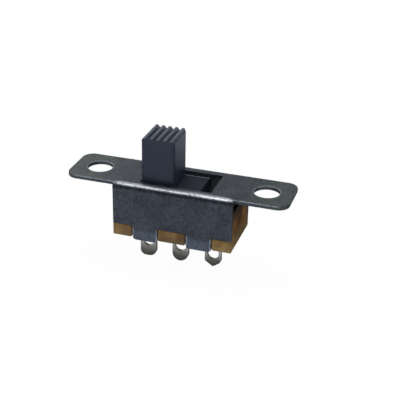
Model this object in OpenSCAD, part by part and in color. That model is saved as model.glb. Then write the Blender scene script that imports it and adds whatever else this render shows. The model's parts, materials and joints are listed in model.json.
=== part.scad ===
// Miniature panel-mounted slide switch: three solder lugs, two positions.
// Origin: midway between the two mounting holes, on the flange's top face.
// +X runs along the flange, +Z points out of the panel on the knob's side.
// The knob is drawn at the -X end of its travel.

/* [Flange] */
// Length of the flange over both ears
flange_l = 19.6; // [18.8:0.1:22]
// Width of the flange's ears
flange_w = 4.8; // [4.2:0.1:5.6]
// Thickness of the frame's sheet steel
sheet = 0.35; // [0.3:0.05:0.4]
// Radius of the flange's four corners
corner_r = 1; // [0.4:0.1:1.8]
// Distance between the mounting holes
hole_pitch = 15; // [14.6:0.1:15.6]
// Diameter of each mounting hole
hole_d = 2.2; // [1.8:0.1:2.6]
// Width of the slot that the knob stands through
slot_w = 3.5; // [3.4:0.1:3.8]

/* [Side walls and tabs] */
// Width over the folded side walls, and of the base
body_w = 5.5; // [5.2:0.1:6.4]
// Length of the side walls and of the base
body_l = 10.6; // [10.4:0.1:11.6]
// Depth of the side walls below the flange's top face
wall_depth = 3.8; // [3.6:0.1:4.4]
// Outer radius of the fold between the flange and each side wall
fold_r = 0.5; // [0.45:0.05:0.65]
// Width of each crimp tab
tab_w = 2.2; // [1.6:0.1:2.6]
// Distance between the two tabs of one wall
tab_pitch = 4.8; // [4.4:0.1:5.4]
// Reach of each tab under the base, from the wall's outer face
tab_reach = 1.3; // [0.8:0.1:1.5]
// Chamfer on the tab's two lower corners
tab_chamfer = 0.25; // [0.1:0.05:0.4]

/* [Base] */
// Depth of the base's underside below the flange's top face
base_depth = 4.9; // [4.7:0.1:6]
// Open height between the flange's underside and the base's rim
rim_gap = 0.95; // [0.8:0.05:1.2]
// Thickness of the base's floor
floor_t = 1; // [0.7:0.1:1.2]
// Height of the base's side rails above its floor
rail_h = 1.7; // [1.2:0.1:2.4]
// Thickness of the base's side rails
side_t = 0.5; // [0.35:0.05:0.55]
// Thickness of the base's end walls
end_t = 0.6; // [0.4:0.05:0.7]

/* [Terminals] */
// Distance between neighbouring terminals
pitch = 3; // [2.9:0.05:3.1]
// Width of each solder lug
lug_w = 1.5; // [1.3:0.05:1.7]
// Thickness of the terminals' strip
strip_t = 0.35; // [0.25:0.05:0.4]
// Length of each lug below the base's underside
lug_l = 3.1; // [2.6:0.1:4]
// Diameter of the eye in each lug
eye_d = 1; // [0.8:0.05:1.1]
// Height of the eye's centre above the lug's tip
eye_rise = 1.5; // [1.2:0.1:1.7]
// Width of each contact blade
blade_w = 1.9; // [1.8:0.05:2.1]
// Height of each contact blade above the floor
blade_h = 1.9; // [1.6:0.05:2]

/* [Slider] */
// Travel of the slider between its two positions
travel = 3.25; // [2.9:0.05:3.4]
// Length of the knob along the travel
knob_l = 2.95; // [2.6:0.05:3.1]
// Width of the knob across the travel
knob_w = 3.25; // [2.8:0.05:3.3]
// Height of the knob's ribs above the flange's top face
knob_h = 4; // [3:0.1:8]
// Radius of the knob's upright edges
knob_edge_r = 0.25; // [0.05:0.05:0.4]
// Number of grip ribs across the knob's top
rib_count = 5; // [3:1:6]
// Depth of the grooves between the ribs
rib_depth = 0.2; // [0.1:0.05:0.5]
// Length of the carriage that the knob stands on
carriage_l = 7.2; // [6.4:0.1:7.3]
// Depth of the carriage's skirt below its plate
skirt_depth = 1.9; // [1.6:0.1:2.2]

/* [Contact clip] */
// Thickness of the clip's strip
clip_t = 0.18; // [0.12:0.02:0.2]
// Width of the clip over its fingers
clip_w = 1.3; // [1.2:0.05:1.4]
// Length of each finger along the travel
finger_l = 1.4; // [1:0.1:1.5]
// Height of the clip from its web's top to the fingers' tips
clip_h = 1.85; // [1.6:0.05:2]
// Width of the neck that joins the two pairs of fingers
neck_w = 0.7; // [0.6:0.05:0.8]

/* [Clearances] */
// Gap between the knob and the slot's end at each end of the travel
end_gap = 0.05; // [0.03:0.01:0.1]
// Sliding gap above and below the carriage's plate
slide_gap = 0.05; // [0.03:0.01:0.08]
// Gap between a moving piece and the wall beside it
side_gap = 0.12; // [0.08:0.02:0.16]
// Gap between pieces that are fixed to each other
fixed_gap = 0.02; // [0.01:0.01:0.03]
// Gap between each tab and the sides of its notch
notch_gap = 0.1; // [0.05:0.01:0.2]
// Running gap between a finger and the blade's face
contact_gap = 0.04; // [0.02:0.01:0.06]

/* [Hidden] */
$fn = 48;

// Overshoot of each cutting shape past what it cuts
over = 1;
slot_l = knob_l + travel + 2 * end_gap;
slider_x = -travel / 2;
inner_w = body_w - 2 * sheet;
// Width over which the ears run into the channel's flat top
root_w = min(flange_w, body_w - 2 * fold_r);
rim_z = -sheet - rim_gap;
floor_z = -base_depth + floor_t;
tray_w = inner_w - 2 * fixed_gap;
cavity_w = tray_w - 2 * side_t;
cavity_l = body_l - 2 * end_t;
plate_top = -sheet - slide_gap;
plate_bottom = rim_z + slide_gap;
plate_w = inner_w - 2 * side_gap;
skirt_w = cavity_w - 2 * side_gap;
// The skirt keeps clear of the base's end walls at both ends of the travel
skirt_l = min(carriage_l, cavity_l - travel - 2 * side_gap);
channel_w = clip_w + 2 * fixed_gap;
neck_l = pitch - finger_l;
rib_pitch = knob_l / rib_count;

// A rectangle centred on the origin with rounded corners
module rounded_rect(length, width, r) {
    square([length - 2 * r, width], center = true);
    square([length, width - 2 * r], center = true);
    for (sx = [-1, 1], sy = [-1, 1])
        translate([sx * (length / 2 - r), sy * (width / 2 - r)]) circle(r);
}

// A block centred in X and Y between two heights
module block(length, width, bottom, top) {
    translate([-length / 2, -width / 2, bottom]) cube([length, width, top - bottom]);
}

// Extrudes a profile drawn in Y and Z along X, centred on x = 0
module along_x(length) {
    translate([-length / 2, 0, 0]) rotate([90, 0, 90]) linear_extrude(length) children();
}

// Extrudes an outline drawn in X and Z along Y, centred on y = 0
module along_y(width) {
    translate([0, width / 2, 0]) rotate([90, 0, 0]) linear_extrude(width) children();
}

// A channel's outline: flat top at z = 0, legs down to -depth, rounded upper corners
module arch(width, depth, r) {
    translate([-width / 2, -depth]) square([width, depth - r]);
    translate([-width / 2 + r, -depth]) square([width - 2 * r, depth]);
    for (s = [-1, 1]) translate([s * (width / 2 - r), -r]) circle(r);
}

// The places of the four crimp tabs along X
tab_places = [-tab_pitch / 2, tab_pitch / 2];

// One steel frame: slotted flange, two side walls and four crimped tabs
module frame() {
    color("#3d4249") {
        difference() {
            union() {
                translate([0, 0, -sheet]) linear_extrude(sheet) difference() {
                    rounded_rect(flange_l, flange_w, corner_r);
                    square([body_l, flange_w + over], center = true);
                }
                block(body_l + 2 * sheet, root_w, -sheet, 0);
                along_x(body_l) difference() {
                    arch(body_w, wall_depth, fold_r);
                    translate([0, -sheet]) arch(inner_w, wall_depth, fold_r - sheet);
                }
            }
            for (s = [-1, 1]) translate([s * hole_pitch / 2, 0, -sheet - over])
                cylinder(d = hole_d, h = sheet + 2 * over);
            block(slot_l, slot_w, -sheet - over, over);
        }
        for (x = tab_places, s = [0, 1]) translate([x, 0, 0]) mirror([0, s, 0]) crimp_tab();
    }
}

// One tab on the front wall's lower edge: down past the ledge, then in under the base
module crimp_tab() {
    tip_z = -base_depth - sheet;
    intersection() {
        along_x(tab_w) {
            translate([-body_w / 2, -base_depth]) square([sheet, base_depth - wall_depth]);
            intersection() {
                translate([-inner_w / 2, -base_depth]) circle(sheet);
                translate([-body_w / 2, tip_z]) square(sheet);
            }
            translate([-inner_w / 2, tip_z]) square([tab_reach - sheet, sheet]);
        }
        along_y(2 * body_w) polygon([
            [-tab_w / 2, 0], [tab_w / 2, 0],
            [tab_w / 2, tip_z + tab_chamfer], [tab_w / 2 - tab_chamfer, tip_z],
            [tab_chamfer - tab_w / 2, tip_z], [-tab_w / 2, tip_z + tab_chamfer]
        ]);
    }
}

// Moulded tray: ledge under the side walls, end walls, lower side rails, terminal slots
module base() {
    color("#6a4422") difference() {
        union() {
            block(body_l, body_w, -base_depth, -wall_depth);
            block(body_l, tray_w, -wall_depth, rim_z);
        }
        block(cavity_l, cavity_w, floor_z, 0);
        block(cavity_l, body_w, floor_z + rail_h, 0);
        for (x = tab_places, s = [-1, 1])
            translate([x, s * body_w / 2, 0])
                block(tab_w + 2 * notch_gap, 2 * sheet, -base_depth - over, -wall_depth);
        for (i = [-1:1]) translate([i * pitch, 0, 0])
            block(lug_w + 2 * fixed_gap, strip_t + 2 * fixed_gap, -base_depth - over, 0);
    }
}

// One flat strip: contact blade on the floor, shank through it, lug with an eye below
module terminal() {
    tip_z = -base_depth - lug_l;
    color("#a3a39f") along_y(strip_t) difference() {
        union() {
            translate([-blade_w / 2, floor_z]) square([blade_w, blade_h]);
            translate([-lug_w / 2, tip_z + lug_w / 2]) square([lug_w, lug_l + floor_t - lug_w / 2]);
            translate([0, tip_z + lug_w / 2]) circle(d = lug_w);
        }
        translate([0, tip_z + eye_rise]) circle(d = eye_d);
    }
}

module terminal_left() { translate([-pitch, 0, 0]) terminal(); }
module terminal_centre() { terminal(); }
module terminal_right() { translate([pitch, 0, 0]) terminal(); }

// The grooves between the ribs on the knob's top, as an outline in X and Z
module grooves() {
    for (i = [0:rib_count]) translate([(i - rib_count / 2) * rib_pitch, knob_h])
        polygon([
            [-0.32 * rib_pitch, 0], [-0.12 * rib_pitch, -rib_depth],
            [0.12 * rib_pitch, -rib_depth], [0.32 * rib_pitch, 0],
            [0.32 * rib_pitch, over], [-0.32 * rib_pitch, over]
        ]);
}

// Knob, carriage plate and skirt in one moulding, with a channel for the clip
module slider() {
    skirt_bottom = plate_bottom - skirt_depth;
    neck_room = neck_w + 2 * fixed_gap;
    color("#262932") translate([slider_x, 0, 0]) {
        difference() {
            translate([0, 0, plate_bottom]) linear_extrude(knob_h - plate_bottom)
                rounded_rect(knob_l, knob_w, knob_edge_r);
            along_y(2 * knob_w) grooves();
        }
        block(carriage_l, plate_w, plate_bottom, plate_top);
        difference() {
            block(skirt_l, skirt_w, skirt_bottom, plate_top);
            block(skirt_l + over, neck_room, skirt_bottom - over, plate_bottom);
            for (s = [-1, 1]) translate([s * (skirt_l + neck_l) / 2, 0, 0])
                block(skirt_l + 2 * fixed_gap, channel_w, skirt_bottom - over, plate_bottom);
        }
    }
}

// One finger, an outline in Y and Z: straight from the web, in to the blade, then flared
module finger() {
    knee_z = -0.3 * clip_h;
    touch_z = -0.8 * clip_h;
    touch_y = strip_t / 2 + contact_gap;
    flare_y = touch_y + clip_t;
    polygon([
        [clip_w / 2 - clip_t, knee_z], [touch_y, touch_z], [flare_y, -clip_h],
        [flare_y + clip_t, -clip_h], [touch_y + clip_t, touch_z], [clip_w / 2, knee_z]
    ]);
}

// Folded strip: two pairs of fingers, one pitch apart, joined by a narrow neck
module contact_clip() {
    knee = 0.3 * clip_h;
    color("#c9c7c0") translate([slider_x, 0, plate_bottom]) {
        for (s = [-1, 1]) translate([s * pitch / 2, 0, 0]) along_x(finger_l) {
            difference() {
                arch(clip_w, knee, 2 * clip_t);
                translate([0, -clip_t]) arch(clip_w - 2 * clip_t, knee, clip_t);
            }
            finger();
            mirror([1, 0]) finger();
        }
        block(neck_l, neck_w, -clip_t, 0);
    }
}

frame();
base();
terminal_left();
terminal_centre();
terminal_right();
slider();
contact_clip();
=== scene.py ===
"""A miniature slide switch: its pieces, finishes, lights and camera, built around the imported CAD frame.

Lengths are in metres, in the CAD frame: the origin is midway between the two mounting holes on the
flange's top face, +X runs along the flange and +Z points out of the panel, on the knob's side.
"""

import json
import logging
import math
from collections.abc import Callable
from dataclasses import dataclass, field
from enum import Enum

import bmesh
import bpy
from mathutils import Matrix, Vector


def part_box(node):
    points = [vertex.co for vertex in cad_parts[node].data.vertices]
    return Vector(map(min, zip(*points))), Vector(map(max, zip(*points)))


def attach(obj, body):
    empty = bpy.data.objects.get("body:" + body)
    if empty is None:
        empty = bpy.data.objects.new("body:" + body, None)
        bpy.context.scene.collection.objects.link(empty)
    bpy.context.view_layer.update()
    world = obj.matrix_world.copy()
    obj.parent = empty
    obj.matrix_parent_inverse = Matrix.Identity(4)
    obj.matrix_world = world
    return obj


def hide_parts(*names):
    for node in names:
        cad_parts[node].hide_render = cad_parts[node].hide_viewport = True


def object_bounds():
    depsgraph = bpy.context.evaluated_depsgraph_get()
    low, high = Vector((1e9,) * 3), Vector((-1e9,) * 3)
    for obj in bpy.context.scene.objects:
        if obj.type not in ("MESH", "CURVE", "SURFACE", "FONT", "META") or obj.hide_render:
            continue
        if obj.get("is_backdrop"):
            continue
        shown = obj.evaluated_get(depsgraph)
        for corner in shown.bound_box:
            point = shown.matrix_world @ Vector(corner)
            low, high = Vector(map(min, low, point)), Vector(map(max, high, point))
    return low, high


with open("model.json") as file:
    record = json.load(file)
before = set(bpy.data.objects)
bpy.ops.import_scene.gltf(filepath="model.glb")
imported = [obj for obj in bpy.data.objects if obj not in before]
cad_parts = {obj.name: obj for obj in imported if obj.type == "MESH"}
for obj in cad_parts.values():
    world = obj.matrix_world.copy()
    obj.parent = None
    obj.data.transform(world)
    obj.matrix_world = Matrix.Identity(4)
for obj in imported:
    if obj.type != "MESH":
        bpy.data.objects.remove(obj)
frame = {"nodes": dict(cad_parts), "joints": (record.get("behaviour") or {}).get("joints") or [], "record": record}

LOG = logging.getLogger("slide_switch")
MM = 0.001
AXES = {"x": Vector((1, 0, 0)), "y": Vector((0, 1, 0)), "z": Vector((0, 0, 1))}
Point = Vector | tuple[float, float, float]
Element = bmesh.types.BMVert | bmesh.types.BMEdge | bmesh.types.BMFace

# Places nearer to each other than NEAR count as one. Cuts and the last merge work to the finer TOUCHING.
NEAR = 0.002 * MM
TOUCHING = NEAR / 10
# A vertex is kept at a multiple of GRAIN, and a mesh is sorted by distance from ORDER_FROM, a place off
# the part that lies on none of its planes of symmetry.
GRAIN = 0.00001 * MM
ORDER_FROM = (31 * MM, 17 * MM, 23 * MM)
# A face looks along an axis where its normal's share on that axis is above FACING.
FACING = 0.9
# A punch is THROUGH times as long as the sheet that it goes through is thick.
THROUGH = 4


class Body(Enum):
    """The CAD bodies that pieces ride on."""

    HOUSING = "housing"
    SLIDER = "slider"


# ---------------------------------------------------------------- modelling steps


class Bench:
    """Modelling steps that the pieces share. Each acts on one object through Blender's operators."""

    @staticmethod
    def activate(obj: bpy.types.Object) -> None:
        """Select only one object and make it the active one.

        Args:
            obj: The object.
        """
        bpy.ops.object.select_all(action="DESELECT")
        obj.select_set(True)
        bpy.context.view_layer.objects.active = obj

    @classmethod
    def block(cls, name: str, low: Point, high: Point) -> bpy.types.Object:
        """Add a cube primitive that fills a box.

        Args:
            name: Name of the new object.
            low: The box's lowest corner.
            high: The box's highest corner.

        Returns:
            The new object, with its place in its mesh.
        """
        bpy.ops.object.select_all(action="DESELECT")
        low, high = Vector(low), Vector(high)
        bpy.ops.mesh.primitive_cube_add(size=1, location=(low + high) / 2, scale=high - low)
        return cls._settle(name)

    @classmethod
    def rod(cls, name: str, centre: Point, axis: str, radius: float, length: float,
            vertices: int = 64) -> bpy.types.Object:
        """Add a cylinder primitive along one axis of the frame.

        Args:
            name: Name of the new object.
            centre: Its middle.
            axis: "x", "y" or "z".
            radius: Its radius.
            length: Its length along the axis.
            vertices: Number of sides.

        Returns:
            The new object, with its place in its mesh.
        """
        bpy.ops.object.select_all(action="DESELECT")
        turn = Vector((0, 0, 1)).rotation_difference(AXES[axis]).to_euler()
        bpy.ops.mesh.primitive_cylinder_add(
            vertices=vertices, radius=radius, depth=length, location=centre, rotation=turn)
        return cls._settle(name)

    @staticmethod
    def _settle(name: str) -> bpy.types.Object:
        """Name the active primitive and move its place into its mesh.

        Args:
            name: Its name from now on.

        Returns:
            The primitive's object.
        """
        obj = bpy.context.active_object
        obj.name = name
        obj.data.name = name
        bpy.ops.object.transform_apply(location=True, rotation=True, scale=True)
        return obj

    @classmethod
    def edit(cls, obj: bpy.types.Object, mode: str = "EDGE") -> None:
        """Open an object in edit mode with nothing selected.

        Args:
            obj: The object.
            mode: "VERT", "EDGE" or "FACE" selection.
        """
        cls.activate(obj)
        bpy.ops.object.mode_set(mode="EDIT")
        bpy.ops.mesh.select_mode(type=mode)
        bpy.ops.mesh.select_all(action="DESELECT")

    @staticmethod
    def done() -> None:
        """Round the vertices' places, sort the mesh and leave edit mode.

        Some operators give the same mesh in another order from run to run, which changes what the next
        ones make of it. Sorted after each step, it comes out with the same vertices and faces.
        """
        mesh = bpy.context.active_object.data
        shape = bmesh.from_edit_mesh(mesh)
        for vertex in shape.verts:
            vertex.co = [round(value / GRAIN) * GRAIN for value in vertex.co]
        bmesh.update_edit_mesh(mesh)
        bpy.context.scene.cursor.location = ORDER_FROM
        bpy.ops.mesh.select_all(action="SELECT")
        bpy.ops.mesh.sort_elements(type="CURSOR_DISTANCE", elements={"VERT", "EDGE", "FACE"})
        bpy.ops.object.mode_set(mode="OBJECT")

    @staticmethod
    def _pick(kind: str, test: Callable[[Element], bool]) -> int:
        """Select what passes a test in the mesh that is open in edit mode.

        Args:
            kind: "verts", "edges" or "faces".
            test: Takes one of them.

        Returns:
            How many passed.
        """
        mesh = bpy.context.active_object.data
        shape = bmesh.from_edit_mesh(mesh)
        picked = [element for element in getattr(shape, kind) if test(element)]
        for element in picked:
            element.select_set(True)
        if kind == "verts":
            shape.select_flush(True)
        bmesh.update_edit_mesh(mesh)
        return len(picked)

    @classmethod
    def pick_edges(cls, test: Callable[[Vector, Vector], bool]) -> int:
        """Select the edges whose two ends pass a test, and return how many did."""
        return cls._pick("edges", lambda edge: test(edge.verts[0].co, edge.verts[1].co))

    @classmethod
    def pick_faces(cls, test: Callable[[Vector, Vector], bool]) -> None:
        """Select the faces whose centre and normal pass a test."""
        cls._pick("faces", lambda face: test(face.calc_center_median(), face.normal))

    @classmethod
    def pick_vertices(cls, test: Callable[[Vector], bool]) -> None:
        """Select the vertices whose place passes a test."""
        cls._pick("verts", lambda vertex: test(vertex.co))

    @classmethod
    def round_edges(cls, obj: bpy.types.Object, test: Callable[[Vector, Vector], bool],
                    radius: float, segments: int) -> None:
        """Round the edges whose two ends pass a test.

        Args:
            obj: The object.
            test: Takes an edge's two end points.
            radius: Radius of the rounding.
            segments: Number of faces across it.
        """
        cls.edit(obj)
        if cls.pick_edges(test):
            bpy.ops.mesh.bevel(offset=radius, segments=segments, affect="EDGES")
        cls.done()

    @classmethod
    def slice_across(cls, obj: bpy.types.Object, axis: str, places: list[float]) -> None:
        """Cut new edges round an object, removing nothing.

        Args:
            obj: The object.
            axis: The axis that the cuts stand across: "x", "y" or "z".
            places: Where along that axis they are made.
        """
        cls.edit(obj)
        for place in places:
            bpy.ops.mesh.select_all(action="SELECT")
            bpy.ops.mesh.bisect(plane_co=AXES[axis] * place, plane_no=AXES[axis], threshold=TOUCHING)
        cls.done()

    @classmethod
    def push_faces(cls, obj: bpy.types.Object, test: Callable[[Vector, Vector], bool],
                   move: tuple[float, float, float]) -> None:
        """Extrude the faces whose centre and normal pass a test.

        Args:
            obj: The object.
            test: Takes a face's centre and its normal.
            move: How far the faces are drawn out or sunk.
        """
        cls.edit(obj, "FACE")
        cls.pick_faces(test)
        bpy.ops.mesh.extrude_region_move(TRANSFORM_OT_translate={"value": move})
        cls.done()

    @classmethod
    def apply(cls, obj: bpy.types.Object, kind: str, **settings: object) -> None:
        """Add a modifier and apply it at once.

        Args:
            obj: The object.
            kind: The modifier's type.
            settings: The modifier's own properties.
        """
        cls.activate(obj)
        modifier = obj.modifiers.new(kind.title(), kind)
        for name, value in settings.items():
            setattr(modifier, name, value)
        bpy.ops.object.modifier_apply(modifier=modifier.name)

    @classmethod
    def combine(cls, obj: bpy.types.Object, tool: bpy.types.Object, operation: str) -> None:
        """Join or cut an object with another one, which is used up, and sort what comes out.

        Args:
            obj: The object that stays.
            tool: The object that is joined to it or cuts it.
            operation: "UNION" or "DIFFERENCE".
        """
        cls.apply(obj, "BOOLEAN", object=tool, operation=operation, solver="EXACT")
        bpy.data.objects.remove(tool, do_unlink=True)
        cls.edit(obj)
        cls.done()

    @classmethod
    def weld(cls, obj: bpy.types.Object, reach: float) -> None:
        """Merge vertices that lie close together and dissolve faces without area.

        Args:
            obj: The object.
            reach: Largest distance between two vertices that become one.
        """
        cls.edit(obj, "VERT")
        bpy.ops.mesh.select_all(action="SELECT")
        bpy.ops.mesh.remove_doubles(threshold=reach)
        bpy.ops.mesh.dissolve_degenerate(threshold=reach)
        cls.done()

    @classmethod
    def merge_flat(cls, obj: bpy.types.Object, angle: float = 0.5) -> None:
        """Dissolve the edges between faces that lie in one plane, so that no sliver is left.

        Args:
            obj: The object.
            angle: Largest angle in degrees between two faces that count as one plane.
        """
        cls.edit(obj)
        bpy.ops.mesh.select_all(action="SELECT")
        bpy.ops.mesh.dissolve_limited(angle_limit=math.radians(angle))
        cls.done()

    @classmethod
    def soften(cls, obj: bpy.types.Object, radius: float, crisp: Callable[[Vector], bool],
               segments: int = 2, sharpness: float = 40.0) -> None:
        """Round the sharp edges a little, as press work and mouldings are.

        Args:
            obj: The object.
            radius: Radius of the rounding.
            crisp: Says whether the edges at a place stay as they are.
            segments: Number of faces across it.
            sharpness: Smallest angle in degrees that counts as sharp.
        """
        cls.edit(obj)
        bpy.ops.mesh.edges_select_sharp(sharpness=math.radians(sharpness))
        shape = bmesh.from_edit_mesh(obj.data)
        for edge in [e for e in shape.edges if e.select]:
            if not edge.is_convex or all(crisp(v.co) for v in edge.verts):
                edge.select_set(False)
        bmesh.update_edit_mesh(obj.data)
        bpy.ops.mesh.bevel(offset=radius, segments=segments, affect="EDGES", clamp_overlap=False)
        cls.done()

    @staticmethod
    def order_corners(mesh: bpy.types.Mesh) -> None:
        """Start each face at its first vertex, so that every run splits it into the same triangles.

        A face with four corners starts at the first vertex on its diagonal, which stays where it is.

        Args:
            mesh: A mesh that is sorted and out of edit mode.
        """
        for face in mesh.polygons:
            loops = [mesh.loops[i] for i in face.loop_indices]
            corners = [(loop.vertex_index, loop.edge_index) for loop in loops]
            first = corners.index(min(corners[::2] if len(corners) == 4 else corners))
            for loop, corner in zip(loops, corners[first:] + corners[:first]):
                loop.vertex_index, loop.edge_index = corner
        mesh.update()

    @classmethod
    def finish_surface(cls, obj: bpy.types.Object, angle: float = 40.0) -> None:
        """Merge doubles, point the faces outwards and shade the rounded edges smooth.

        Args:
            obj: The object.
            angle: Largest angle in degrees that is shaded smooth.
        """
        cls.weld(obj, TOUCHING)
        cls.edit(obj, "VERT")
        bpy.ops.mesh.select_all(action="SELECT")
        bpy.ops.mesh.normals_make_consistent(inside=False)
        cls.done()
        cls.order_corners(obj.data)
        bpy.ops.object.shade_smooth_by_angle(angle=math.radians(angle))
        cls.apply(obj, "WEIGHTED_NORMAL", keep_sharp=True)


# ---------------------------------------------------------------- shader nodes


class Signal:
    """One socket's value in a material, so that shader maths can be written as an expression."""

    def __init__(self, graph: "Graph", socket: bpy.types.NodeSocket | None) -> None:
        """Wrap an output socket of a graph's node, or nothing for a node that has none."""
        self.graph = graph
        self.socket = socket

    def _maths(self, operation: str, first: "Signal | float", second: "Signal | float") -> "Signal":
        """Add a Math node of two values."""
        return self.graph.node("ShaderNodeMath", {"operation": operation}, {0: first, 1: second})

    def __add__(self, other: "Signal | float") -> "Signal":
        """Return this value plus another."""
        return self._maths("ADD", self, other)

    def __radd__(self, other: float) -> "Signal":
        """Return another value plus this one."""
        return self._maths("ADD", other, self)

    def __sub__(self, other: "Signal | float") -> "Signal":
        """Return this value minus another."""
        return self._maths("SUBTRACT", self, other)

    def __rsub__(self, other: float) -> "Signal":
        """Return another value minus this one."""
        return self._maths("SUBTRACT", other, self)

    def __mul__(self, other: "Signal | float") -> "Signal":
        """Return this value times another."""
        return self._maths("MULTIPLY", self, other)

    def __rmul__(self, other: float) -> "Signal":
        """Return another value times this one."""
        return self._maths("MULTIPLY", other, self)

    def size(self) -> "Signal":
        """Return the value without its sign."""
        return self._maths("ABSOLUTE", self, 0.0)

    def least(self, other: "Signal | float") -> "Signal":
        """Return the smaller of this value and another."""
        return self._maths("MINIMUM", self, other)

    def most(self, other: "Signal | float") -> "Signal":
        """Return the larger of this value and another."""
        return self._maths("MAXIMUM", self, other)

    def step(self, start: float, end: float) -> "Signal":
        """Return a smooth mask, 0 where this value is at start and 1 where it is at end.

        Args:
            start: Where the mask is 0.
            end: Where the mask is 1. It may be below start.

        Returns:
            The mask, held between 0 and 1.
        """
        if start > end:
            return 1 - self.step(end, start)
        return self.graph.node(
            "ShaderNodeMapRange", {"interpolation_type": "SMOOTHSTEP"},
            {"Value": self, "From Min": start, "From Max": end, "To Min": 0.0, "To Max": 1.0})


class Graph:
    """The nodes of one material or of the world, added one at a time."""

    def __init__(self, tree: bpy.types.NodeTree) -> None:
        """Empty a node tree and take it over."""
        self.tree = tree
        tree.nodes.clear()

    def node(self, kind: str, settings: dict[str, object], inputs: dict[str | int, object],
             output: int = 0) -> Signal:
        """Add a node.

        Args:
            kind: The node's type.
            settings: Its own properties, set first.
            inputs: Values or signals for its input sockets, by name or number.
            output: Number of the output socket to hand back.

        Returns:
            That output, as a signal, which is empty for a node without outputs.
        """
        made = self.tree.nodes.new(kind)
        for name, value in settings.items():
            setattr(made, name, value)
        for name, value in inputs.items():
            if isinstance(value, Signal):
                self.tree.links.new(value.socket, made.inputs[name])
            else:
                made.inputs[name].default_value = value
        return Signal(self, made.outputs[output] if made.outputs else None)

    def place(self) -> Signal:
        """Return the point on the surface in the piece's own frame, in millimetres."""
        point = self.node("ShaderNodeTexCoord", {}, {}, output=3)
        return self.node("ShaderNodeVectorMath", {"operation": "SCALE"}, {0: point, "Scale": 1 / MM})

    def parts(self, vector: Signal) -> tuple[Signal, Signal, Signal]:
        """Split a vector.

        Args:
            vector: The vector.

        Returns:
            Its X, Y and Z.
        """
        split = self.node("ShaderNodeSeparateXYZ", {}, {0: vector})
        outputs = split.socket.node.outputs
        return tuple(Signal(self, outputs[name]) for name in "XYZ")

    def ray(self, *kinds: str) -> Signal:
        """Tell rays of some kinds from all others.

        Args:
            kinds: The kinds, named as on the Light Path node.

        Returns:
            1 for rays of these kinds and 0 for the others.
        """
        outputs = self.node("ShaderNodeLightPath", {}, {}).socket.node.outputs
        signals = [Signal(self, outputs[kind]) for kind in kinds]
        return sum(signals[1:], signals[0])

    def noise(self, vector: Signal, size: float, detail: float = 3.0,
              roughness: float = 0.5) -> Signal:
        """Return a random pattern, 0.5 on average, whose largest features are size millimetres wide."""
        return self.node("ShaderNodeTexNoise", {"noise_dimensions": "3D"}, {
            "Vector": vector, "Scale": 1 / size, "Detail": detail, "Roughness": roughness})

    def tint(self, first: "Colour | Signal", second: "Colour | Signal", mask: Signal) -> Signal:
        """Return the first colour where the mask is 0 and the second where it is 1."""
        return self.node("ShaderNodeMix", {"data_type": "RGBA"}, {0: mask, 6: first, 7: second}, output=2)

    def bump(self, height: Signal, depth: float) -> Signal:
        """Return the normal tilted by a pattern that rises depth millimetres from 0 to 1."""
        return self.node("ShaderNodeBump", {}, {"Height": height, "Distance": depth * MM, "Strength": 1.0})


# ---------------------------------------------------------------- finishes

Colour = tuple[float, float, float, float]
Span = tuple[float, float]


def paint(code: str) -> Colour:
    """Turn a colour code into the linear colour that the shaders take.

    Args:
        code: Six hexadecimal digits, two each for red, green and blue.

    Returns:
        The linear colour, opaque.
    """
    shares = [int(code[i:i + 2], 16) / 255 for i in (0, 2, 4)]
    linear = [s / 12.92 if s <= 0.04045 else ((s + 0.055) / 1.055) ** 2.4 for s in shares]
    return (*linear, 1.0)


@dataclass(frozen=True)
class Finish:
    """What a piece is coated with or moulded from.

    In every finish a Span runs from where its mask is 0 to where it is 1, in millimetres of the part's
    frame unless its comment says otherwise. A number that multiplies a mask or a pattern is its share.
    """

    name: str
    slot: str

    def shade(self, graph: Graph) -> dict[str, object]:
        """Return values and signals for the surface shader's sockets."""
        raise NotImplementedError

    def material(self) -> bpy.types.Material:
        """Make the material once and return it from then on.

        Returns:
            The material.
        """
        known = bpy.data.materials.get(self.name)
        if known:
            return known
        made = bpy.data.materials.new(self.name)
        made.use_nodes = True
        graph = Graph(made.node_tree)
        surface = graph.node("ShaderNodeBsdfPrincipled", {}, self.shade(graph))
        graph.node("ShaderNodeOutputMaterial", {}, {"Surface": surface})
        return made


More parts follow.
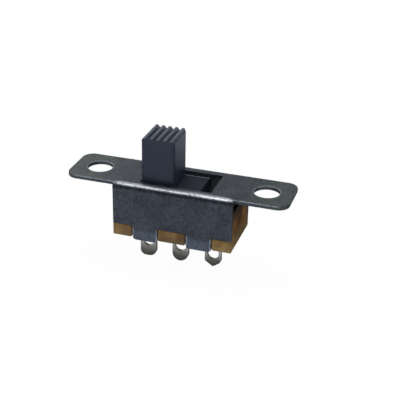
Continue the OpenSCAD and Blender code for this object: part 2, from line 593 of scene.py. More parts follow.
@dataclass(frozen=True)
class BlackCoat(Finish):
    """Thin black coating on sheet steel, rubbed through to the metal along the folds."""

    name: str = "black_coat"
    slot: str = "black_steel"
    low: Colour = paint("13181f")
    high: Colour = paint("555e69")
    # The ears' paler, greener high colour is painted light from above.
    ear_painted_light: Colour = paint("5a645f")
    # The walls' inner faces get this paler colour as painted light, so that the channel's dark inside looks lit.
    inner: Colour = paint("7b8391")
    metal: Colour = paint("b2b5bc")
    # The folds: distances round the fold, |Y| - Z, which are shorter on the rear fold.
    rear: Span = (-1.0, 1.0)
    rear_shift: float = 0.3
    fold_on: Span = (2.06, 2.26)
    fold_off: Span = (2.88, 2.58)
    # A painted dark reflection: the coat darkens on the lip just below the fold.
    lip_reflection_on: Span = (2.75, 2.85)
    lip_reflection_off: Span = (3.35, 2.95)
    body_end: Span = (5.35, 4.6)
    # The ears' edges and the rims of the mounting holes.
    ear_edge: Span = (2.33, 2.38)
    ear_edge_top: Span = (-0.14, -0.04)
    hole_middle: float = 7.5
    hole_rim: Span = (1.22, 1.14)
    hole_rim_top: Span = (-0.12, -0.04)
    # The tabs and their cut sides, which are measured from a tab's middle.
    tab_middle: float = 2.4
    tab_side: Span = (1.0, 1.05)
    tab_side_top: Span = (-3.8, -3.95)
    tab: Span = (-4.0, -4.3)
    # The rest of the sheet: the ears, paler and greener as painted light, the flat top, darker as painted shade,
    # and the walls' inner faces, paler as painted light.
    ear: Span = (5.3, 8.3)
    flat_top: Span = (-0.3, -0.1)
    inside: Span = (2.44, 2.42)
    inside_top: Span = (-0.37, -0.39)
    # Spans of the noise itself.
    worn: Span = (0.5, 0.9)
    mottle: Span = (0.3, 0.7)

    def shade(self, graph: Graph) -> dict[str, object]:
        """Return a mottled dark coat with bright metal where the folds were drawn over the die.

        Args:
            graph: The material's nodes.

        Returns:
            Values and signals for the surface shader's sockets.
        """
        place = graph.place()
        x, y, z = graph.parts(place)
        blotch = graph.noise(place, size=1.6, detail=4)
        grain = graph.noise(place, size=0.22, detail=3, roughness=0.6)
        round_fold = y.size() - z - y.step(*self.rear) * self.rear_shift
        rub = self._rub((x, y, z), round_fold, blotch, grain)

        tabs = z.step(*self.tab)
        ears = x.size().step(*self.ear)
        # Painted dark reflection on the lip below the fold.
        painted_lip_reflection = round_fold.step(*self.lip_reflection_on) * round_fold.step(*self.lip_reflection_off)
        pattern = (blotch * 0.35 + grain * 0.65).step(*self.mottle)
        # The tabs are paler. As painted light and shade, the ears are paler, the channel's top darker and the lip
        # below the fold darker.
        tabs_and_painted_light = tabs * 0.8 + ears * 0.25 - painted_lip_reflection * 0.5 - z.step(*self.flat_top) * 0.25
        strength = ((pattern + tabs_and_painted_light + 0.05) * 0.6).least(1.0).most(0.0)
        coat = graph.tint(self.low, graph.tint(self.high, self.ear_painted_light, ears), strength)
        # Painted light: the walls' inner faces below the flange are paler.
        painted_light_inside = y.size().step(*self.inside) * z.step(*self.inside_top) * (1 - tabs)
        coat = graph.tint(coat, self.inner, painted_light_inside)
        return {
            "Base Color": graph.tint(coat, self.metal, rub),
            "Metallic": rub,
            "Roughness": 0.3 + grain * 0.2,
            "Specular IOR Level": 0.4,
            "Normal": graph.bump(grain, depth=0.02),
        }

    def _rub(self, place: tuple[Signal, Signal, Signal], round_fold: Signal, blotch: Signal,
             grain: Signal) -> Signal:
        """Say where the coat is rubbed through.

        Args:
            place: X, Y and Z in millimetres.
            round_fold: Distance round the fold.
            blotch: The coarse pattern.
            grain: The fine pattern.

        Returns:
            1 on bare metal and 0 on the whole coat.
        """
        x, y, z = place
        worn = (grain * 1.4 + blotch * 0.9 - 0.3).step(*self.worn)
        along = x.size().step(*self.body_end)
        fold = along * round_fold.step(*self.fold_on) * round_fold.step(*self.fold_off)
        burr = y.size().step(*self.ear_edge) * z.step(*self.ear_edge_top)
        from_tab = (x.size() - self.tab_middle).size()
        cut = from_tab.step(*self.tab_side) * z.step(*self.tab_side_top)
        from_hole = x.size() - self.hole_middle
        rim_start, rim_end = self.hole_rim
        rim = (from_hole * from_hole + y * y).step(rim_start ** 2, rim_end ** 2)
        rub = fold * (worn * 0.6 + 0.4) + burr * (1 - along) * worn * 0.7 + cut * (worn * 0.6 + 0.35)
        return rub.most(rim * z.step(*self.hole_rim_top) * worn * 0.5)


@dataclass(frozen=True)
class BrownMoulding(Finish):
    """Brown moulding: olive at the ledge, redder up the walls, clouded all over, with a painted shadow at its rim
    under the flange's ears.
    """

    name: str = "brown_resin"
    slot: str = "brown_moulding"
    dark: Colour = paint("6a5031")
    light: Colour = paint("a88a54")
    dark_wall: Colour = paint("5a350f")
    light_wall: Colour = paint("ac7432")
    # A painted shadow: the near-black that the walls' upper part darkens to under the flange's ears.
    painted_shadow: Colour = paint("1c1614")
    wall: Span = (-4.7, -2.5)
    # Where the painted shadow runs from none to full, up towards the rim.
    rim: Span = (-2.6, -1.4)
    mottle: Span = (0.35, 0.7)  # of the noise itself

    def shade(self, graph: Graph) -> dict[str, object]:
        """Return a clouded brown with a soft moulded gloss.

        Args:
            graph: The material's nodes.

        Returns:
            Values and signals for the surface shader's sockets.
        """
        place = graph.place()
        _, _, z = graph.parts(place)
        cloud = graph.noise(place, size=2.2, detail=3)
        grain = graph.noise(place, size=0.25, detail=3)
        pattern = (cloud * 0.8 + grain * 0.2).step(*self.mottle)
        body = graph.tint(graph.tint(self.dark, self.light, pattern),
                          graph.tint(self.dark_wall, self.light_wall, pattern), z.step(*self.wall))
        # Painted shadow: the walls darken towards the rim, where the flange's ears hang over them.
        painted_shadow_mask = (z + cloud * 0.4).step(*self.rim) * 0.85
        return {
            "Base Color": graph.tint(body, self.painted_shadow, painted_shadow_mask),
            "Roughness": 0.45 + grain * 0.2,
            "Specular IOR Level": 0.2,
            "Normal": graph.bump(grain, depth=0.012),
        }


@dataclass(frozen=True)
class TinnedStrip(Finish):
    """Brass strip with a dull grey tin plating."""

    name: str = "tin_plating"
    slot: str = "tinned_strip"
    dark: Colour = paint("7c796f")
    light: Colour = paint("ebe7da")
    # Where the painted shade at the lugs' tips runs from none to full.
    tip: Span = (-6.2, -7.9)

    def shade(self, graph: Graph) -> dict[str, object]:
        """Return a cloudy grey metal that darkens towards the tips, as painted shade.

        Args:
            graph: The material's nodes.

        Returns:
            Values and signals for the surface shader's sockets.
        """
        place = graph.place()
        _, _, z = graph.parts(place)
        cloud = graph.noise(place, size=0.8, detail=4)
        grain = graph.noise(place, size=0.1, detail=3)
        # Painted shade towards the tips, plus the cloud's own random tone.
        tip_shade_and_cloud = (z.step(*self.tip) * 0.8 + cloud * 0.4).least(1.0)
        return {
            "Base Color": graph.tint(self.light, self.dark, tip_shade_and_cloud),
            "Metallic": 0.9,
            "Roughness": 0.34 + grain * 0.2,
            "Normal": graph.bump(grain, depth=0.01),
        }


@dataclass(frozen=True)
class DarkPlastic(Finish):
    """Blue-black moulded plastic: a glossy knob with a painted sheen on its ribs, on a dull carriage, with a
    painted highlight along the plate's rear edge.
    """

    name: str = "dark_resin"
    slot: str = "dark_plastic"
    dark: Colour = paint("191f2c")
    light: Colour = paint("2e384b")
    # The pale colour is painted light: a sheen on the ribs and a highlight along the plate's rear edge.
    pale: Colour = paint("7d858e")
    carriage: Span = (-0.21, -0.36)
    crest_top: Span = (3.88, 4.0)
    # A painted highlight: the pale line along the plate's rear edge.
    highlight_top: Span = (-0.66, -0.46)
    highlight_side: Span = (1.59, 1.65)
    crest_sheen: Span = (0.3, 0.6)  # of the noise itself

    def shade(self, graph: Graph) -> dict[str, object]:
        """Return a near-black gloss.

        Args:
            graph: The material's nodes.

        Returns:
            Values and signals for the surface shader's sockets.
        """
        place = graph.place()
        _, y, z = graph.parts(place)
        cloud = graph.noise(place, size=1.8, detail=2)
        grain = graph.noise(place, size=0.18, detail=3)
        dull = z.step(*self.carriage)
        # Painted sheen: grainy pale spots on the ribs' crests.
        painted_crest_sheen = z.step(*self.crest_top) * grain.step(*self.crest_sheen)
        # Painted highlight along the plate's rear edge.
        painted_edge_highlight = dull * z.step(*self.highlight_top) * y.step(*self.highlight_side)
        plain = graph.tint(self.dark, self.light, (cloud * 0.6 + grain * 0.4) * (1 - dull))
        return {
            "Base Color": graph.tint(plain, self.pale, (painted_crest_sheen * 0.35 + painted_edge_highlight * 0.6).least(1.0)),
            "Roughness": 0.28 + grain * 0.12 + dull * 0.5,
            "Specular IOR Level": 0.35,
            "Normal": graph.bump(grain, depth=0.012),
        }


@dataclass(frozen=True)
class SilveredSpring(Finish):
    """Silver-plated spring strip with fine rolling marks along it."""

    name: str = "silver_plating"
    slot: str = "silvered_spring"
    dark: Colour = paint("a9a59a")
    light: Colour = paint("dedcd4")
    rolling: tuple[float, float, float] = (0.1, 1.0, 1.0)  # the marks are ten times as long along X

    def shade(self, graph: Graph) -> dict[str, object]:
        """Return a bright metal with fine lines along X.

        Args:
            graph: The material's nodes.

        Returns:
            Values and signals for the surface shader's sockets.
        """
        place = graph.place()
        stretched = graph.node(
            "ShaderNodeVectorMath", {"operation": "MULTIPLY"}, {0: place, 1: self.rolling})
        lines = graph.noise(stretched, size=0.05, detail=3)
        return {
            "Base Color": graph.tint(self.dark, self.light, lines),
            "Metallic": 1.0,
            "Roughness": 0.24 + lines * 0.16,
            "Normal": graph.bump(lines, depth=0.004),
        }


def dress(piece: bpy.types.Object, finish: Finish) -> None:
    """Give a piece its finish.

    Args:
        piece: The piece, new or from the CAD.
        finish: Its finish.
    """
    if piece.material_slots:
        for slot in piece.material_slots:
            slot.material = finish.material()
    else:
        piece.data.materials.append(finish.material())


# ---------------------------------------------------------------- pieces


def mount(name: str) -> dict[str, object]:
    """Return one of the record's mounts by name."""
    return next(m for m in frame["record"]["mounts"] if m["name"] == name)


def travel() -> float:
    """Return how far the slider moves from rest."""
    return max(frame["joints"][0]["range_m"])


@dataclass(kw_only=True)
class Part:
    """One physical piece: the CAD node that it stands for, its body, its finish and its edges' rounding."""

    node: str
    body: Body
    finish: Finish
    edge: float = 0.05 * MM
    low: Vector = field(init=False)
    high: Vector = field(init=False)

    def __post_init__(self) -> None:
        """Read the CAD node's box."""
        self.low, self.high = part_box(self.node)

    def model(self) -> bpy.types.Object:
        """Model the piece in place and return it."""
        raise NotImplementedError

    def crisp(self, place: Vector) -> bool:
        """Say whether the edges at a place stay sharp."""
        return False

    def build(self) -> bpy.types.Object:
        """Model the piece, finish it and let it stand for its CAD node.

        Returns:
            The finished piece.
        """
        piece = self.model()
        Bench.weld(piece, NEAR)
        Bench.soften(piece, self.edge, self.crisp)
        Bench.finish_surface(piece)
        dress(piece, self.finish)
        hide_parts(self.node)
        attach(piece, self.body.value)
        return piece


@dataclass(kw_only=True)
class SteelFrame(Part):
    """Pressed channel with two ears, two side walls and four tabs folded under the base."""

    node: str = "frame"
    body: Body = Body.HOUSING
    finish: Finish = field(default_factory=BlackCoat)
    sheet: float = 0.35 * MM
    ear_width: float = 4.8 * MM
    ear_root: float = 0.004 * MM  # how far an ear reaches into the channel's end
    root_weld: float = 0.0044 * MM
    corner_radius: float = 1.0 * MM
    corner_segments: int = 12
    fold_radius: float = 0.5 * MM
    fold_segments: int = 8
    wall_depth: float = 3.8 * MM
    tab_width: float = 2.2 * MM
    tab_pitch: float = 4.8 * MM
    tab_reach: float = 1.3 * MM
    tab_fold_steps: int = 3
    tab_chamfer: float = 0.25 * MM
    slot_width: float = 3.5 * MM
    slot_end_gap: float = 0.05 * MM
    notch: float = 0.2 * MM
    length: float = field(init=False)
    tab_top: float = field(init=False)

    def __post_init__(self) -> None:
        """Read the boxes of the frame and of the base that it holds."""
        super().__post_init__()
        base_low, base_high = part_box("base")
        self.length = base_high.x - base_low.x
        self.tab_top = base_low.z

    def model(self) -> bpy.types.Object:
        """Bend the channel, fold the tabs, punch the slot and add the ears.

        Returns:
            The frame, with its edges still sharp.
        """
        channel = self._channel()
        for x in (-self.tab_pitch / 2, self.tab_pitch / 2):
            for side in (-1, 1):
                self._fold_tab(channel, x, side)
        self._punch_slot(channel)
        for side in (-1, 1):
            Bench.combine(channel, self._ear(side), "UNION")
        Bench.weld(channel, self.root_weld)
        notch_ends = [s * (self.length / 2 + t * self.notch) for s in (-1, 1) for t in (-1, 1)]
        Bench.slice_across(channel, "x", notch_ends)
        return channel

    def crisp(self, place: Vector) -> bool:
        """Keep the edges of the sheared notch sharp, where an ear leaves the fold.

        Args:
            place: An edge's end.

        Returns:
            Whether the place is in the notch.
        """
        return (abs(abs(place.x) - self.length / 2) < self.notch + NEAR
                and abs(place.y) > self.high.y - 2 * self.fold_radius
                and place.z > -self.sheet - self.fold_radius)

    def _in_tab(self, x: float) -> bool:
        """Say whether a place along X lies in a tab."""
        return abs(abs(x) - self.tab_pitch / 2) < self.tab_width / 2

    def _channel(self) -> bpy.types.Object:
        """Bend the flange's middle and the side walls, with the tabs still straight.

        Returns:
            The channel, in the sheet's full thickness.
        """
        half = self.length / 2
        channel = Bench.block("steel_frame", (-half, self.low.y, self.tab_top), (half, self.high.y, 0))
        Bench.round_edges(channel, lambda a, b: min(a.z, b.z) > -NEAR and abs(a.y - b.y) < NEAR,
                          self.fold_radius, self.fold_segments)
        tab_edges = [s * (self.tab_pitch + t * self.tab_width) / 2 for s in (-1, 1) for t in (-1, 1)]
        Bench.slice_across(channel, "x", tab_edges)
        Bench.slice_across(channel, "z", [-self.wall_depth])
        Bench.edit(channel, "FACE")
        Bench.pick_faces(lambda centre, normal: abs(normal.x) > FACING or normal.z < -FACING
                         or (centre.z < -self.wall_depth and not self._in_tab(centre.x)))
        bpy.ops.mesh.delete(type="FACE")
        Bench.done()
        Bench.apply(channel, "SOLIDIFY", thickness=self.sheet, offset=-1, use_even_offset=True)
        return channel

    def _fold_tab(self, channel: bpy.types.Object, x: float, side: int) -> None:
        """Fold one tab in under the base and clip its lower corners.

        Args:
            channel: The channel with its straight tabs.
            x: The tab's middle along X.
            side: -1 for the front wall and 1 for the back wall.
        """
        inner_y = side * (self.high.y - self.sheet)

        def own(centre: Vector) -> bool:
            """Say whether a face lies on this tab's side of the channel."""
            return abs(centre.x - x) < self.tab_width and centre.y * side > 0

        Bench.edit(channel, "FACE")
        Bench.pick_faces(lambda centre, normal: own(centre) and normal.z < -FACING
                         and abs(centre.z - self.tab_top) < NEAR)
        bpy.ops.mesh.spin(steps=self.tab_fold_steps, angle=math.radians(90) * side, axis=(1, 0, 0),
                          center=(x, inner_y, self.tab_top))
        bpy.ops.mesh.extrude_region_move(
            TRANSFORM_OT_translate={"value": (0, -side * (self.tab_reach - self.sheet), 0)})
        for end in (-1, 1):
            bpy.ops.mesh.select_all(action="DESELECT")
            Bench.pick_faces(lambda centre, normal: own(centre) and centre.z < self.tab_top - NEAR)
            corner = (x + end * self.tab_width / 2, 0, self.low.z + self.tab_chamfer)
            bpy.ops.mesh.bisect(plane_co=corner, plane_no=(end, 0, -1), clear_outer=True,
                                use_fill=True, threshold=TOUCHING)
        Bench.done()

    def _ear(self, side: int) -> bpy.types.Object:
        """Blank one ear of the flange, with its rounded corners and its mounting hole.

        Args:
            side: -1 for the left ear and 1 for the right ear.

        Returns:
            The ear, whose root reaches into the channel's end.
        """
        half = self.ear_width / 2
        root, tip = side * (self.length / 2 - self.ear_root), side * self.high.x
        ear = Bench.block("ear", (min(root, tip), -half, -self.sheet), (max(root, tip), half, 0))
        Bench.round_edges(ear, lambda a, b: abs(a.x - tip) < NEAR and abs(b.x - tip) < NEAR
                          and abs(a.z - b.z) > NEAR, self.corner_radius, self.corner_segments)
        holes = mount("mounting_holes")["dims"]
        middle = side * holes["spacing_x_mm"] / 2 * MM
        Bench.slice_across(ear, "x", [middle])
        Bench.slice_across(ear, "y", [0])
        punch = Bench.rod("punch", (middle, 0, 0), "z", holes["hole_r_mm"] * MM, THROUGH * self.sheet)
        Bench.combine(ear, punch, "DIFFERENCE")
        return ear

    def _punch_slot(self, channel: bpy.types.Object) -> None:
        """Punch the slot that the knob stands through.

        Args:
            channel: The channel.
        """
        slot_length = Slider.knob_length + travel() + 2 * self.slot_end_gap
        half = Vector((slot_length, self.slot_width, THROUGH * self.sheet)) / 2
        Bench.combine(channel, Bench.block("punch", -half, half), "DIFFERENCE")


@dataclass(frozen=True)
class Crop:
    """How a lug's end is shaped.

    rises: How far its left and right lower corners are drawn up from the tip.
    radii: How wide these corners are rounded.
    eye_stretch: How much longer than round its eye is, towards the tip.
    """

    rises: tuple[float, float]
    radii: tuple[float, float]
    eye_stretch: float = 0.0


class Tip(Enum):
    """How the lower end of a solder lug was cropped."""

    BLUNT = Crop(rises=(0.0, 0.03 * MM), radii=(0.52 * MM, 0.66 * MM))
    ROUND = Crop(rises=(0.0, 0.12 * MM), radii=(0.74 * MM, 0.74 * MM))
    POINTED = Crop(rises=(0.5 * MM, 0.48 * MM), radii=(0.15 * MM, 0.3 * MM), eye_stretch=0.28 * MM)


# Each terminal's node, the mount in its eye and the tip of its lug.
TERMINALS = {
    "terminal_left": ("lug_eye_left", Tip.BLUNT),
    "terminal_centre": ("lug_eye_centre", Tip.ROUND),
    "terminal_right": ("lug_eye_right", Tip.POINTED),
}


@dataclass(kw_only=True)
class Base(Part):
    """Moulded tray: end walls, lower side rails, a ledge under the side walls, notches and slots."""

    node: str = "base"
    body: Body = Body.HOUSING
    finish: Finish = field(default_factory=BrownMoulding)
    edge: float = 0.07 * MM
    ledge: float = 1.1 * MM
    tray_width: float = 4.76 * MM
    side_rail: float = 0.5 * MM
    rail_height: float = 1.7 * MM
    end_wall: float = 0.6 * MM
    floor: float = 1.0 * MM
    notch_width: float = 2.4 * MM
    notch_pitch: float = SteelFrame.tab_pitch
    notch_overshoot: float = 1.5  # the cutter's outer side, as a share of the base's
    fit: float = 0.02 * MM

    def model(self) -> bpy.types.Object:
        """Raise the tray on its ledge and its end walls on that, sink the cavity and cut the slots.

        Returns:
            The base, with its edges still sharp.
        """
        ledge_top = self.low.z + self.ledge
        floor_top = self.low.z + self.floor
        rail_top = floor_top + self.rail_height
        base = Bench.block("base_tray", self.low, (self.high.x, self.high.y, ledge_top))
        tray = self.tray_width / 2
        inside_x = self.high.x - self.end_wall
        inside_y = tray - self.side_rail
        Bench.slice_across(base, "y", [-tray, tray])
        Bench.push_faces(base, lambda centre, normal: normal.z > FACING and abs(centre.y) < tray,
                         (0, 0, rail_top - ledge_top))
        Bench.slice_across(base, "x", [-inside_x, inside_x])
        Bench.push_faces(base, lambda centre, normal: abs(centre.z - rail_top) < NEAR
                         and abs(centre.x) > inside_x, (0, 0, self.high.z - rail_top))
        Bench.slice_across(base, "y", [-inside_y, inside_y])
        Bench.push_faces(base, lambda centre, normal: abs(centre.z - rail_top) < NEAR
                         and abs(centre.x) < inside_x and abs(centre.y) < inside_y,
                         (0, 0, floor_top - rail_top))
        self._cut_notches(base)
        self._cut_slots(base)
        Bench.merge_flat(base)
        return base

    def _cut_notches(self, base: bpy.types.Object) -> None:
        """Cut the four notches that the frame's tabs lie in.

        Args:
            base: The base.
        """
        half = self.notch_width / 2
        for x in (-self.notch_pitch / 2, self.notch_pitch / 2):
            for side in (-1, 1):
                ys = sorted((side * self.tray_width / 2, side * self.high.y * self.notch_overshoot))
                cutter = Bench.block("cutter", (x - half, ys[0], self.low.z - self.ledge),
                                     (x + half, ys[1], self.low.z + self.ledge))
                Bench.combine(base, cutter, "DIFFERENCE")

    def _cut_slots(self, base: bpy.types.Object) -> None:
        """Cut the slots that the terminals stand in through the floor.

        Args:
            base: The base.
        """
        for terminal in TERMINALS:
            low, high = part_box(terminal)
            middle = (low.x + high.x) / 2
            half = Terminal.lug_width / 2 + self.fit
            cutter = Bench.block(
                "cutter", (middle - half, low.y - self.fit, self.low.z - self.ledge),
                (middle + half, high.y + self.fit, self.low.z + 2 * self.floor))
            Bench.combine(base, cutter, "DIFFERENCE")


@dataclass(kw_only=True)
class Terminal(Part):
    """Flat strip: a contact blade on the floor, a shank through it and a lug with an eye."""

    node: str
    mount_name: str
    tip: Tip
    body: Body = Body.HOUSING
    finish: Finish = field(default_factory=TinnedStrip)
    edge: float = 0.035 * MM
    lug_width: float = 1.5 * MM
    blade_height: float = 1.9 * MM
    corner_segments: int = 12
    eye_sides: int = 48

    def model(self) -> bpy.types.Object:
        """Draw the shank down from the blade, crop its tip and punch the eye.

        Returns:
            The terminal, with its edges still sharp.
        """
        middle = (self.low.x + self.high.x) / 2
        half = self.lug_width / 2
        shoulder = self.high.z - self.blade_height
        name = f"strip_{self.tip.name.lower()}"
        strip = Bench.block(name, (self.low.x, self.low.y, shoulder), self.high)
        Bench.slice_across(strip, "x", [middle - half, middle + half])
        Bench.push_faces(
            strip, lambda centre, normal: normal.z < -FACING and abs(centre.x - middle) < half,
            (0, 0, self.low.z - shoulder))
        self._crop(strip, middle, half)
        self._punch_eye(strip)
        return strip

    def _crop(self, strip: bpy.types.Object, middle: float, half: float) -> None:
        """Shape the lug's lower end.

        Args:
            strip: The terminal with a square end.
            middle: The lug's middle along X.
            half: Half of the lug's width.
        """
        crop = self.tip.value
        Bench.slice_across(strip, "x", [middle])
        for end, rise, radius in zip((-1, 1), crop.rises, crop.radii):
            side = middle + end * half
            Bench.edit(strip, "VERT")
            Bench.pick_vertices(lambda place: place.z < self.low.z + NEAR
                                and (place.x - middle) * end > NEAR)
            bpy.ops.transform.translate(value=(0, 0, rise))
            Bench.done()
            Bench.round_edges(
                strip, lambda a, b: max(a.z, b.z) < self.low.z + half and abs(a.x - side) < NEAR
                and abs(b.x - side) < NEAR and abs(a.y - b.y) > NEAR, radius, self.corner_segments)

    def _punch_eye(self, strip: bpy.types.Object) -> None:
        """Punch the eye, stretched towards the tip where the lug has it so.

        Args:
            strip: The terminal with its cropped tip.
        """
        eye = mount(self.mount_name)
        centre = Vector(eye["pos_m"])
        punch = Bench.rod("punch", centre, "y", eye["dims"]["r_mm"] * MM,
                          THROUGH * (self.high.y - self.low.y), self.eye_sides)
        Bench.edit(punch, "VERT")
        Bench.pick_vertices(lambda place: place.z < centre.z + NEAR)
        bpy.ops.transform.translate(value=(0, 0, -self.tip.value.eye_stretch))
        Bench.done()
        Bench.combine(strip, punch, "DIFFERENCE")


@dataclass(kw_only=True)
class Slider(Part):
    """Ribbed knob, carriage plate and skirt in one moulding, with a channel for the clip."""

    node: str = "slider"
    body: Body = Body.SLIDER
    finish: Finish = field(default_factory=DarkPlastic)
    edge: float = 0.03 * MM
    knob_length: float = 2.95 * MM
    knob_width: float = 3.25 * MM
    knob_radius: float = 0.25 * MM
    knob_segments: int = 3
    rib_count: int = 5
    rib_depth: float = 0.2 * MM
    groove_top: float = 0.64  # the groove's widths, as shares of the ribs' pitch
    groove_bottom: float = 0.24
    plate_top: float = -0.4 * MM
    plate_bottom: float = -1.25 * MM
    skirt_length: float = 5.91 * MM
    skirt_width: float = 3.52 * MM
    neck_room: float = 0.74 * MM
    neck_length: float = 1.6 * MM
    finger_room: float = 1.34 * MM

    def model(self) -> bpy.types.Object:
        """Draw the knob up and the skirt down out of the plate, then cut the grooves.

        Returns:
            The slider, with its edges still sharp.
        """
        middle = (self.low.x + self.high.x) / 2
        slider = Bench.block("slider_knob", (self.low.x, self.low.y, self.plate_bottom),
                             (self.high.x, self.high.y, self.plate_top))
        self._draw_knob(slider, middle)
        self._draw_skirt(slider, middle)
        self._cut_grooves(slider, middle)
        Bench.merge_flat(slider)
        return slider

    def _draw_knob(self, slider: bpy.types.Object, middle: float) -> None:
        """Draw the knob up out of the plate and round its upright edges.

        Args:
            slider: The plate.
            middle: Its middle along X.
        """
        half_x, half_y = self.knob_length / 2, self.knob_width / 2
        Bench.slice_across(slider, "x", [middle - half_x, middle + half_x])
        Bench.slice_across(slider, "y", [-half_y, half_y])
        Bench.push_faces(slider, lambda centre, normal: abs(centre.z - self.plate_top) < NEAR
                         and abs(centre.x - middle) < half_x and abs(centre.y) < half_y,
                         (0, 0, self.high.z - self.plate_top))
        Bench.round_edges(slider, lambda a, b: abs(a.x - b.x) < NEAR and abs(a.y - b.y) < NEAR
                          and max(a.z, b.z) > self.high.z - NEAR and abs(a.z - b.z) > NEAR,
                          self.knob_radius, self.knob_segments)

    def _draw_skirt(self, slider: bpy.types.Object, middle: float) -> None:
        """Draw the skirt down round the clip's channel, which is narrow in the middle and wide at its ends.

        Args:
            slider: The plate with its knob.
            middle: Its middle along X.
        """
        half_x, half_y, half_neck = self.skirt_length / 2, self.skirt_width / 2, self.neck_length / 2
        along = [middle + s * half for s in (-1, 1) for half in (half_neck, half_x)]
        across = [s * half for s in (-1, 1)
                  for half in (self.neck_room / 2, self.finger_room / 2, half_y)]
        Bench.slice_across(slider, "x", along)
        Bench.slice_across(slider, "y", across)

        def solid(place: Vector) -> bool:
            """Tell the skirt from the rest of the plate's underside.

            Args:
                place: A place on the underside.

            Returns:
                Whether the skirt hangs from it.
            """
            from_x, from_y = abs(place.x - middle), abs(place.y)
            room = self.neck_room if from_x < half_neck else self.finger_room
            return from_x < half_x and room / 2 < from_y < half_y

        Bench.push_faces(slider, lambda centre, normal: abs(centre.z - self.plate_bottom) < NEAR
                         and solid(centre), (0, 0, self.low.z - self.plate_bottom))

    def _cut_grooves(self, slider: bpy.types.Object, middle: float) -> None:
        """Cut the grooves between the knob's ribs, and half a groove at each end.

        Args:
            slider: The slider with its knob.
            middle: Its middle along X.
        """
        pitch = self.knob_length / self.rib_count
        deep = self.high.z - self.rib_depth
        over = self.high.z + self.rib_depth
        wall = (self.groove_top - self.groove_bottom) * pitch / 2
        spread = self.groove_bottom * pitch / 2 + wall * (over - deep) / self.rib_depth
        for i in range(self.rib_count + 1):
            x = middle + (i - self.rib_count / 2) * pitch
            cutter = Bench.block("cutter", (x - spread, -self.knob_width, deep),
                                 (x + spread, self.knob_width, over))
            Bench.edit(cutter, "VERT")
            Bench.pick_vertices(lambda place: place.z < deep + NEAR)
            bpy.ops.transform.resize(value=(self.groove_bottom * pitch / 2 / spread, 1, 1),
                                     center_override=(x, 0, deep))
            Bench.done()
            Bench.combine(slider, cutter, "DIFFERENCE")


# ---------------------------------------------------------------- studio


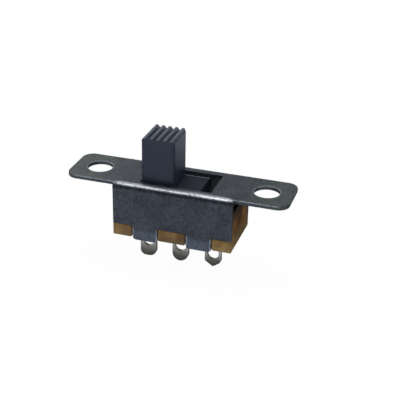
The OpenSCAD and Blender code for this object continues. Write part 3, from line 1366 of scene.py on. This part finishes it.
@dataclass
class Studio:
    """Plain pale floor, white surroundings, one softbox overhead and the camera.

    Turns are in degrees, and a Span runs from where its mask is 0 to where it is 1.
    """

    azimuth: float = 17.06
    elevation: float = 26.75
    roll: float = 1.24
    distance: float = 85.34 * MM
    target: Vector = field(default_factory=lambda: Vector((1.66, 0, -1.75)) * MM)
    lens: float = 89.54
    near_clip: float = 1 * MM
    white: Colour = paint("ffffff")
    # The floor: white to the camera and, to all other rays, faintly blue as painted cool light, with a grey band
    # on it behind the switch as painted shade.
    floor_gap: float = 0.3 * MM
    floor_size: float = 4.0
    floor_glow: float = 0.97
    floor_front: Colour = paint("e4ecfa")
    floor_painted_shade: Colour = paint("46484c")
    band_near: Span = (-1.0, 5.0)  # both in millimetres along Y
    band_far: Span = (36.0, 14.0)
    # The room: brightness below and above the horizon, and greys in its reflections. The spans are
    # shares of the direction's X, Y or Z.
    room_levels: tuple[float, float] = (0.15, 0.7)
    horizon: Span = (0.0, 1.0)
    right_grey: Colour = paint("a6aaae")
    left_side: Span = (-0.26, -0.46)
    front_grey: Colour = paint("787c84")
    front_side: Span = (0.2, -0.6)
    below_top: Span = (0.9, 0.6)
    box_size: float = 0.12
    box_height: float = 0.18
    box_power: float = 0.17

    def build(self) -> None:
        """Set up the view transform, the floor, the surroundings, the lamp and the camera."""
        bpy.context.scene.view_settings.view_transform = "Standard"
        self._floor()
        self._world()
        self._softbox()
        self._camera()

    def _floor(self) -> None:
        """Lay a pale floor just below the switch, which is held by its flange."""
        bpy.ops.object.select_all(action="DESELECT")
        low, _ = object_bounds()
        bpy.ops.mesh.primitive_plane_add(size=self.floor_size, location=(0, 0, low.z - self.floor_gap))
        floor = bpy.context.active_object
        floor.name = "floor"
        material = bpy.data.materials.new("pale_floor")
        material.use_nodes = True
        graph = Graph(material.node_tree)
        _, y, _ = graph.parts(graph.place())
        seen = graph.ray("Is Camera Ray", "Is Transmission Ray")
        # Painted shade: a grey band on the floor behind the switch, met only by reflections and bounced light.
        band = y.step(*self.band_near) * y.step(*self.band_far)
        shade = graph.tint(self.floor_front, self.floor_painted_shade, band)
        matt = graph.node("ShaderNodeBsdfDiffuse", {}, {"Color": graph.tint(shade, self.white, seen)})
        glow = graph.node("ShaderNodeEmission", {}, {"Color": self.white, "Strength": 1.0})
        mixed = graph.node("ShaderNodeMixShader", {}, {0: seen * self.floor_glow, 1: matt, 2: glow})
        graph.node("ShaderNodeOutputMaterial", {}, {"Surface": mixed})
        floor.data.materials.append(material)
        floor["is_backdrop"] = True

    def _world(self) -> None:
        """Surround the switch with an even white, greyer in reflections than behind it."""
        world = bpy.data.worlds.new("white_room")
        world.use_nodes = True
        bpy.context.scene.world = world
        graph = Graph(world.node_tree)
        direction = graph.node("ShaderNodeTexCoord", {}, {}, output=0)
        x, y, z = graph.parts(direction)
        below, above = self.room_levels
        even = graph.node("ShaderNodeBackground", {}, {
            "Color": self.white, "Strength": below + z.step(*self.horizon) * (above - below)})
        sides = graph.tint(self.right_grey, self.white, x.step(*self.left_side))
        in_front = y.step(*self.front_side) * z.step(*self.below_top)
        shade = graph.tint(sides, self.front_grey, in_front)
        mirrored = graph.node("ShaderNodeBackground", {}, {"Color": shade, "Strength": 1.0})
        white = graph.node("ShaderNodeBackground", {}, {"Color": self.white, "Strength": 1.0})
        inner = graph.node("ShaderNodeMixShader", {}, {0: graph.ray("Is Glossy Ray"), 1: even, 2: mirrored})
        seen = graph.ray("Is Camera Ray", "Is Transmission Ray")
        outer = graph.node("ShaderNodeMixShader", {}, {0: seen, 1: inner, 2: white})
        graph.node("ShaderNodeOutputWorld", {}, {"Surface": outer})

    def _softbox(self) -> None:
        """Hang a square softbox over the switch."""
        light = bpy.data.lights.new("softbox", "AREA")
        light.size = self.box_size
        light.energy = self.box_power
        lamp = bpy.data.objects.new("softbox", light)
        lamp.location = (0, 0, self.box_height)
        bpy.context.scene.collection.objects.link(lamp)

    def _camera(self) -> None:
        """Stand the camera at its distance from the target and roll it a little."""
        around, up = math.radians(self.azimuth), math.radians(self.elevation)
        back = Vector((math.sin(around) * math.cos(up), -math.cos(around) * math.cos(up), math.sin(up)))
        camera = bpy.data.objects.new("camera", bpy.data.cameras.new("camera"))
        camera.data.lens = self.lens
        camera.data.clip_start = self.near_clip
        look = back.to_track_quat("Z", "Y").to_matrix().to_4x4()
        turn = Matrix.Rotation(math.radians(self.roll), 4, back) @ look
        camera.matrix_world = Matrix.Translation(self.target + back * self.distance) @ turn
        bpy.context.scene.collection.objects.link(camera)
        bpy.context.scene.camera = camera


# ---------------------------------------------------------------- the switch


def main() -> None:
    """Build every piece of the switch, then the studio around it."""
    logging.basicConfig(level=logging.INFO, format="%(name)s %(message)s")
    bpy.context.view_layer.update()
    parts = [SteelFrame(), Base(), Slider()]
    parts += [Terminal(node=node, mount_name=eye, tip=tip) for node, (eye, tip) in TERMINALS.items()]
    for part in parts:
        part.build()
    clip = frame["nodes"]["contact_clip"]
    dress(clip, SilveredSpring())
    Studio().build()


if __name__ == "__main__":
    main()
